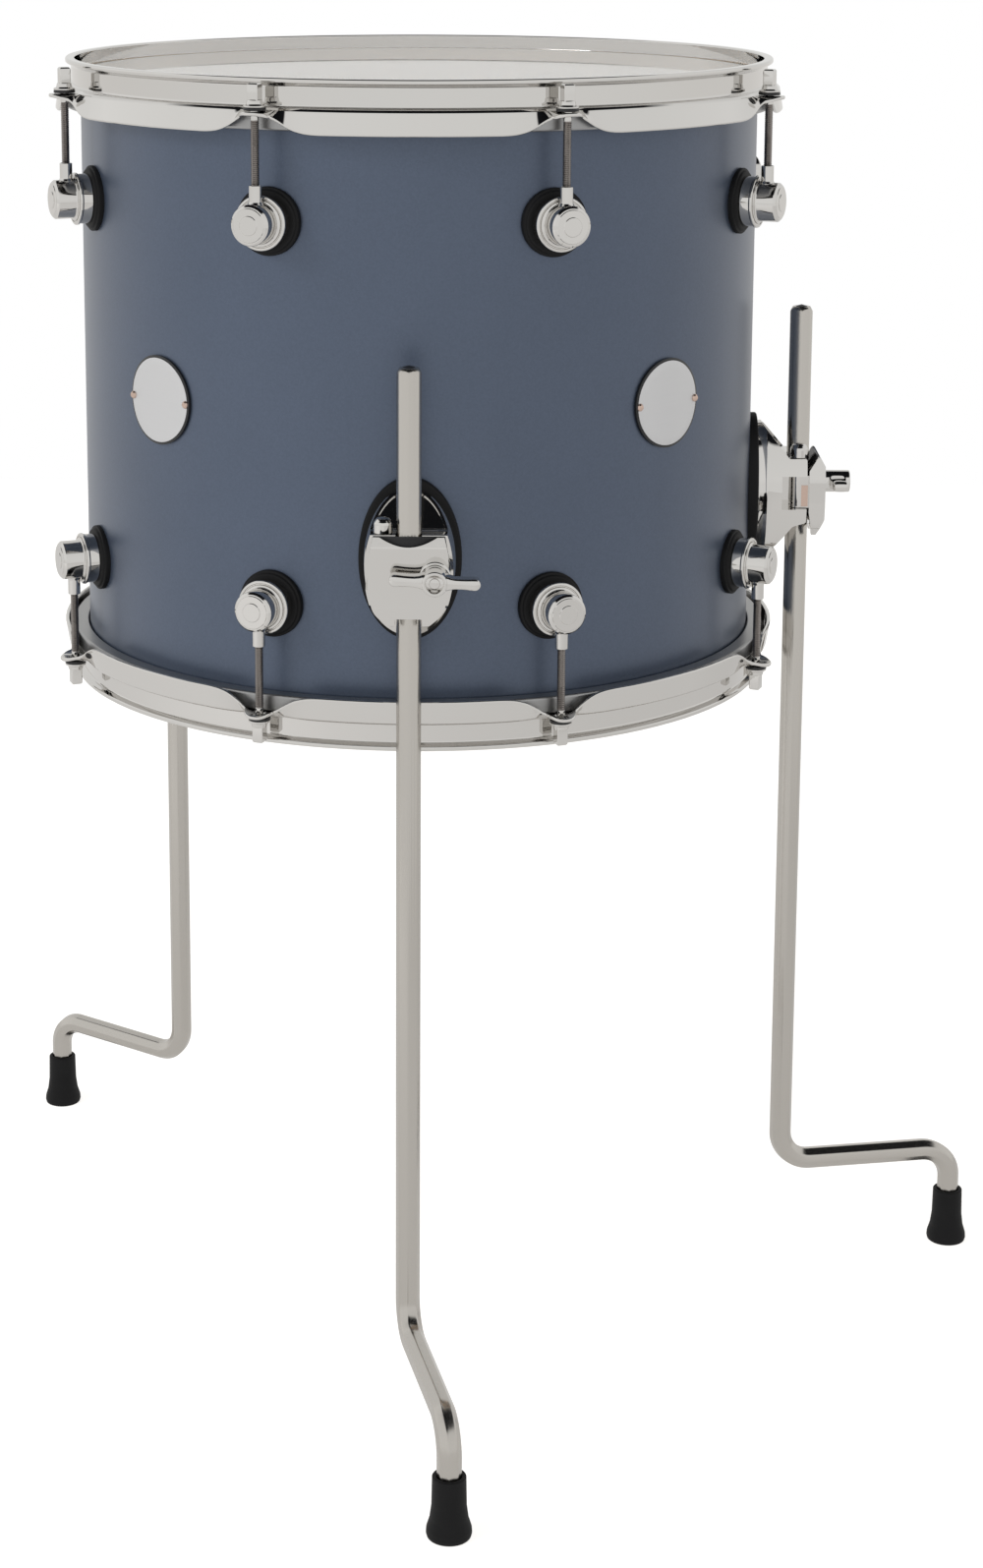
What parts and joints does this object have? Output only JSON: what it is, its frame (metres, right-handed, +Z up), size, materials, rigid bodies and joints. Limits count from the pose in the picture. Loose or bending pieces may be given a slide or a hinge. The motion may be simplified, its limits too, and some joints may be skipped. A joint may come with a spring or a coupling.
{
  "type": "floor tom",
  "caption": "Floor tom drum: lacquered cylindrical shell with chrome hoops, tube lugs and tension rods, on sliding bent legs held by hinged wing-bolt clamps, with rubber feet.",
  "frame": {"origin": "middle of the bounding box on the floor, level with the rubber soles", "axes": "+Z up along the drum's own axis, -Y towards the viewer of the picture and the front leg, +X to the viewer's right"},
  "size_m": [0.63, 0.5958, 0.767],
  "materials": {
    "shell_lacquer": "plywood under satin metallic slate blue lacquer",
    "clear_film": "clear polyester film, smooth and slightly hazy",
    "chrome": "mirror-bright plating",
    "rubber": "matt black",
    "badge_metal": "fine brushed, bare, with a thin black rim"
  },
  "bodies": {
    "drum": {"shell": "shell_lacquer", "top_lug_1": "chrome", "top_lug_2": "chrome", "top_lug_3": "chrome", "top_lug_4": "chrome", "top_lug_5": "chrome", "top_lug_6": "chrome", "top_lug_7": "chrome", "top_lug_8": "chrome", "bottom_lug_1": "chrome", "bottom_lug_2": "chrome", "bottom_lug_3": "chrome", "bottom_lug_4": "chrome", "bottom_lug_5": "chrome", "bottom_lug_6": "chrome", "bottom_lug_7": "chrome", "bottom_lug_8": "chrome", "front_bracket_gasket": "rubber", "front_leg_bracket": "chrome", "front_hinge_pin": "chrome", "right_bracket_gasket": "rubber", "right_leg_bracket": "chrome", "right_hinge_pin": "chrome", "left_bracket_gasket": "rubber", "left_leg_bracket": "chrome", "left_hinge_pin": "chrome", "left_badge": "badge_metal", "right_badge": "badge_metal"},
    "top_hoop_and_head": {"top_hoop": "chrome", "batter_head": "clear_film"},
    "bottom_hoop_and_head": {"bottom_hoop": "chrome", "resonant_head": "clear_film"},
    "top_rod_1": {"top_tension_rod_1": "chrome"},
    "top_rod_2": {"top_tension_rod_2": "chrome"},
    "top_rod_3": {"top_tension_rod_3": "chrome"},
    "top_rod_4": {"top_tension_rod_4": "chrome"},
    "top_rod_5": {"top_tension_rod_5": "chrome"},
    "top_rod_6": {"top_tension_rod_6": "chrome"},
    "top_rod_7": {"top_tension_rod_7": "chrome"},
    "top_rod_8": {"top_tension_rod_8": "chrome"},
    "bottom_rod_1": {"bottom_tension_rod_1": "chrome"},
    "bottom_rod_2": {"bottom_tension_rod_2": "chrome"},
    "bottom_rod_3": {"bottom_tension_rod_3": "chrome"},
    "bottom_rod_4": {"bottom_tension_rod_4": "chrome"},
    "bottom_rod_5": {"bottom_tension_rod_5": "chrome"},
    "bottom_rod_6": {"bottom_tension_rod_6": "chrome"},
    "bottom_rod_7": {"bottom_tension_rod_7": "chrome"},
    "bottom_rod_8": {"bottom_tension_rod_8": "chrome"},
    "front_leg_and_foot": {"front_leg": "chrome", "front_foot": "rubber"},
    "front_jaw": {"front_clamp_jaw": "chrome"},
    "front_bolt": {"front_wing_bolt": "chrome"},
    "right_leg_and_foot": {"right_leg": "chrome", "right_foot": "rubber"},
    "right_jaw": {"right_clamp_jaw": "chrome"},
    "right_bolt": {"right_wing_bolt": "chrome"},
    "left_leg_and_foot": {"left_leg": "chrome", "left_foot": "rubber"},
    "left_jaw": {"left_clamp_jaw": "chrome"},
    "left_bolt": {"left_wing_bolt": "chrome"}
  },
  "joints": [
    {"name": "top_hoop_lift", "type": "slide", "parent": "drum", "child": "top_hoop_and_head", "axis": [0, 0, 1], "range_m": [0, 0.00317]},
    {"name": "bottom_hoop_drop", "type": "slide", "parent": "drum", "child": "bottom_hoop_and_head", "axis": [0, 0, -1], "range_m": [0, 0.00317]},
    {"name": "top_rod_1_turn", "type": "hinge", "parent": "top_hoop_and_head", "child": "top_rod_1", "pos_m": [0.04195, -0.14393, 0.75], "axis": [0, 0, 1], "range_deg": [0, 1081]},
    {"name": "top_rod_2_turn", "type": "hinge", "parent": "top_hoop_and_head", "child": "top_rod_2", "pos_m": [0.16047, -0.02541, 0.75], "axis": [0, 0, 1], "range_deg": [0, 1081]},
    {"name": "top_rod_3_turn", "type": "hinge", "parent": "top_hoop_and_head", "child": "top_rod_3", "pos_m": [0.16047, 0.14221, 0.75], "axis": [0, 0, 1], "range_deg": [0, 1081]},
    {"name": "top_rod_4_turn", "type": "hinge", "parent": "top_hoop_and_head", "child": "top_rod_4", "pos_m": [0.04195, 0.26073, 0.75], "axis": [0, 0, 1], "range_deg": [0, 1081]},
    {"name": "top_rod_5_turn", "type": "hinge", "parent": "top_hoop_and_head", "child": "top_rod_5", "pos_m": [-0.12567, 0.26073, 0.75], "axis": [0, 0, 1], "range_deg": [0, 1081]},
    {"name": "top_rod_6_turn", "type": "hinge", "parent": "top_hoop_and_head", "child": "top_rod_6", "pos_m": [-0.24419, 0.14221, 0.75], "axis": [0, 0, 1], "range_deg": [0, 1081]},
    {"name": "top_rod_7_turn", "type": "hinge", "parent": "top_hoop_and_head", "child": "top_rod_7", "pos_m": [-0.24419, -0.02541, 0.75], "axis": [0, 0, 1], "range_deg": [0, 1081]},
    {"name": "top_rod_8_turn", "type": "hinge", "parent": "top_hoop_and_head", "child": "top_rod_8", "pos_m": [-0.12567, -0.14393, 0.75], "axis": [0, 0, 1], "range_deg": [0, 1081]},
    {"name": "bottom_rod_1_turn", "type": "hinge", "parent": "bottom_hoop_and_head", "child": "bottom_rod_1", "pos_m": [0.04195, -0.14393, 0.413], "axis": [0, 0, -1], "range_deg": [0, 1081]},
    {"name": "bottom_rod_2_turn", "type": "hinge", "parent": "bottom_hoop_and_head", "child": "bottom_rod_2", "pos_m": [0.16047, -0.02541, 0.413], "axis": [0, 0, -1], "range_deg": [0, 1081]},
    {"name": "bottom_rod_3_turn", "type": "hinge", "parent": "bottom_hoop_and_head", "child": "bottom_rod_3", "pos_m": [0.16047, 0.14221, 0.413], "axis": [0, 0, -1], "range_deg": [0, 1081]},
    {"name": "bottom_rod_4_turn", "type": "hinge", "parent": "bottom_hoop_and_head", "child": "bottom_rod_4", "pos_m": [0.04195, 0.26073, 0.413], "axis": [0, 0, -1], "range_deg": [0, 1081]},
    {"name": "bottom_rod_5_turn", "type": "hinge", "parent": "bottom_hoop_and_head", "child": "bottom_rod_5", "pos_m": [-0.12567, 0.26073, 0.413], "axis": [0, 0, -1], "range_deg": [0, 1081]},
    {"name": "bottom_rod_6_turn", "type": "hinge", "parent": "bottom_hoop_and_head", "child": "bottom_rod_6", "pos_m": [-0.24419, 0.14221, 0.413], "axis": [0, 0, -1], "range_deg": [0, 1081]},
    {"name": "bottom_rod_7_turn", "type": "hinge", "parent": "bottom_hoop_and_head", "child": "bottom_rod_7", "pos_m": [-0.24419, -0.02541, 0.413], "axis": [0, 0, -1], "range_deg": [0, 1081]},
    {"name": "bottom_rod_8_turn", "type": "hinge", "parent": "bottom_hoop_and_head", "child": "bottom_rod_8", "pos_m": [-0.12567, -0.14393, 0.413], "axis": [0, 0, -1], "range_deg": [0, 1081]},
    {"name": "front_leg_slide", "type": "slide", "parent": "drum", "child": "front_leg_and_foot", "axis": [0, 0, 1], "range_m": [-0.08, 0.35]},
    {"name": "front_jaw_swing", "type": "hinge", "parent": "drum", "child": "front_jaw", "pos_m": [-0.05583, -0.1736, 0.5045], "axis": [0, 0, -1], "range_deg": [0, 4.1]},
    {"name": "front_wing_bolt_turn", "type": "hinge", "parent": "front_jaw", "child": "front_bolt", "pos_m": [-0.02739, -0.1997, 0.5046], "axis": [0, -1, 0], "range_deg": [0, 720]},
    {"name": "right_leg_slide", "type": "slide", "parent": "drum", "child": "right_leg_and_foot", "axis": [0, 0, 1], "range_m": [-0.08, 0.35]},
    {"name": "right_jaw_swing", "type": "hinge", "parent": "drum", "child": "right_jaw", "pos_m": [0.19014, 0.04443, 0.5045], "axis": [0, 0, -1], "range_deg": [0, 4.1]},
    {"name": "right_wing_bolt_turn", "type": "hinge", "parent": "right_jaw", "child": "right_bolt", "pos_m": [0.21624, 0.07287, 0.5046], "axis": [1, 0, 0], "range_deg": [0, 720]},
    {"name": "left_leg_slide", "type": "slide", "parent": "drum", "child": "left_leg_and_foot", "axis": [0, 0, 1], "range_m": [-0.08, 0.35]},
    {"name": "left_jaw_swing", "type": "hinge", "parent": "drum", "child": "left_jaw", "pos_m": [-0.19904, 0.22961, 0.5045], "axis": [0, 0, -1], "range_deg": [0, 4.1]},
    {"name": "left_wing_bolt_turn", "type": "hinge", "parent": "left_jaw", "child": "left_bolt", "pos_m": [-0.23758, 0.22728, 0.5046], "axis": [-0.7193, 0.6947, 0], "range_deg": [0, 720]}
  ],
  "couplings": [
    {"joint": "top_rod_1_turn", "follows": "top_hoop_lift", "rad_per_m": 5936.9},
    {"joint": "top_rod_2_turn", "follows": "top_hoop_lift", "rad_per_m": 5936.9},
    {"joint": "top_rod_3_turn", "follows": "top_hoop_lift", "rad_per_m": 5936.9},
    {"joint": "top_rod_4_turn", "follows": "top_hoop_lift", "rad_per_m": 5936.9},
    {"joint": "top_rod_5_turn", "follows": "top_hoop_lift", "rad_per_m": 5936.9},
    {"joint": "top_rod_6_turn", "follows": "top_hoop_lift", "rad_per_m": 5936.9},
    {"joint": "top_rod_7_turn", "follows": "top_hoop_lift", "rad_per_m": 5936.9},
    {"joint": "top_rod_8_turn", "follows": "top_hoop_lift", "rad_per_m": 5936.9},
    {"joint": "bottom_rod_1_turn", "follows": "bottom_hoop_drop", "rad_per_m": 5936.9},
    {"joint": "bottom_rod_2_turn", "follows": "bottom_hoop_drop", "rad_per_m": 5936.9},
    {"joint": "bottom_rod_3_turn", "follows": "bottom_hoop_drop", "rad_per_m": 5936.9},
    {"joint": "bottom_rod_4_turn", "follows": "bottom_hoop_drop", "rad_per_m": 5936.9},
    {"joint": "bottom_rod_5_turn", "follows": "bottom_hoop_drop", "rad_per_m": 5936.9},
    {"joint": "bottom_rod_6_turn", "follows": "bottom_hoop_drop", "rad_per_m": 5936.9},
    {"joint": "bottom_rod_7_turn", "follows": "bottom_hoop_drop", "rad_per_m": 5936.9},
    {"joint": "bottom_rod_8_turn", "follows": "bottom_hoop_drop", "rad_per_m": 5936.9},
    {"joint": "front_jaw_swing", "follows": "front_wing_bolt_turn", "ratio": 0.0055949},
    {"joint": "right_jaw_swing", "follows": "right_wing_bolt_turn", "ratio": 0.0055949},
    {"joint": "left_jaw_swing", "follows": "left_wing_bolt_turn", "ratio": 0.0055949}
  ]
}
